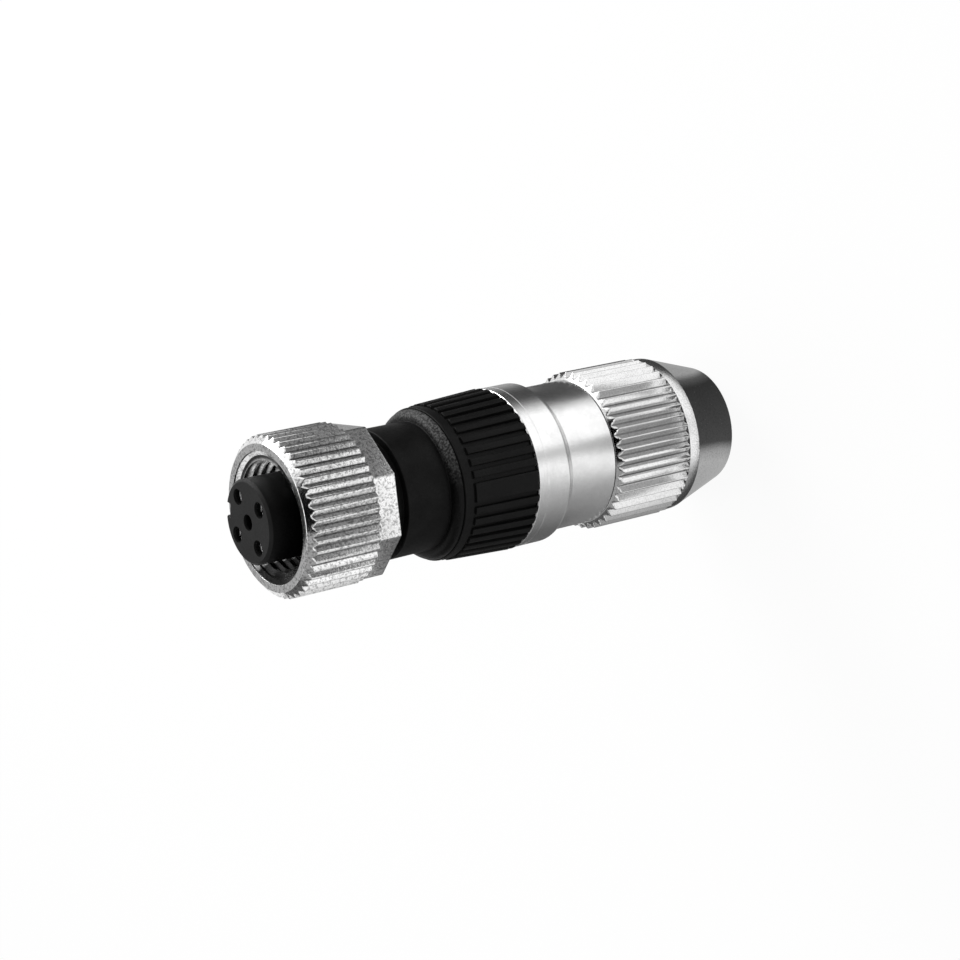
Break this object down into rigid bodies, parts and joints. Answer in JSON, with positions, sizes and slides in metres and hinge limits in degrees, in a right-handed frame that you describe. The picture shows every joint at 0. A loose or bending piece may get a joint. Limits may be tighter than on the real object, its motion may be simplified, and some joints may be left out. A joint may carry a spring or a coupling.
{
  "type": "m12 cable connector",
  "caption": "Straight female M12 cable connector with a knurled coupling nut, keyed contact insert, ribbed union ring, plated sleeve and knurled cable clamp nut with a conical end.",
  "frame": {"origin": "centre of the cable end, the flat rear face of the clamp nut", "axes": "+Z along the connector towards its mating face, +Y towards the insert's keyway"},
  "size_m": [0.0166, 0.0166, 0.0555],
  "materials": {
    "nickel_plate": "nickel-plated brass, satin",
    "black_plastic": "black glass-filled plastic, textured",
    "insert_plastic": "dark grey plastic, matt",
    "carrier_plastic": "dark plastic",
    "cage_plastic": "grey plastic",
    "seal_rubber": "black rubber",
    "contact_metal": "plated copper alloy",
    "fork_metal": "tin-plated",
    "spring_steel": "spring steel"
  },
  "bodies": {
    "sleeve": {"metal_sleeve": "nickel_plate", "splice_ring": "carrier_plastic", "cable_seal": "seal_rubber", "clamp_cage": "cage_plastic"},
    "front": {"front_body": "black_plastic", "contact_insert": "insert_plastic", "contact_carrier": "carrier_plastic", "insert_seal": "seal_rubber", "body_seal": "seal_rubber", "contact_1": "contact_metal", "contact_2": "contact_metal", "contact_3": "contact_metal", "contact_4": "contact_metal", "idc_fork_1": "fork_metal", "idc_fork_2": "fork_metal", "idc_fork_3": "fork_metal", "idc_fork_4": "fork_metal"},
    "union": {"grip_ring": "black_plastic"},
    "slip_ring": {"retaining_ring": "spring_steel"},
    "coupling": {"coupling_nut": "nickel_plate"},
    "thrust": {"pressure_ring": "cage_plastic"},
    "clamp": {"clamp_nut": "nickel_plate"}
  },
  "joints": [
    {"name": "front_slide", "type": "slide", "parent": "sleeve", "child": "front", "axis": [0, 0, 1], "range_m": [0, 0.003]},
    {"name": "union_turn", "type": "hinge", "parent": "front", "child": "union", "pos_m": [0, 0, 0.0312], "axis": [0, 0, 1], "range_deg": [0, 1080.5]},
    {"name": "nut_float", "type": "slide", "parent": "front", "child": "slip_ring", "axis": [0, 0, 1], "range_m": [0, 0.001]},
    {"name": "coupling_turn", "type": "hinge", "parent": "slip_ring", "child": "coupling", "pos_m": [0, 0, 0.0482], "axis": [0, 0, 1], "continuous": true},
    {"name": "thrust_slide", "type": "slide", "parent": "sleeve", "child": "thrust", "axis": [0, 0, -1], "range_m": [0, 0.006]},
    {"name": "clamp_turn", "type": "hinge", "parent": "thrust", "child": "clamp", "pos_m": [0, 0, 0.0084], "axis": [0, 0, -1], "range_deg": [0, 2160.5]}
  ],
  "couplings": [
    {"joint": "union_turn", "follows": "front_slide", "rad_per_m": 6283.2},
    {"joint": "clamp_turn", "follows": "thrust_slide", "rad_per_m": 6283.2}
  ]
}
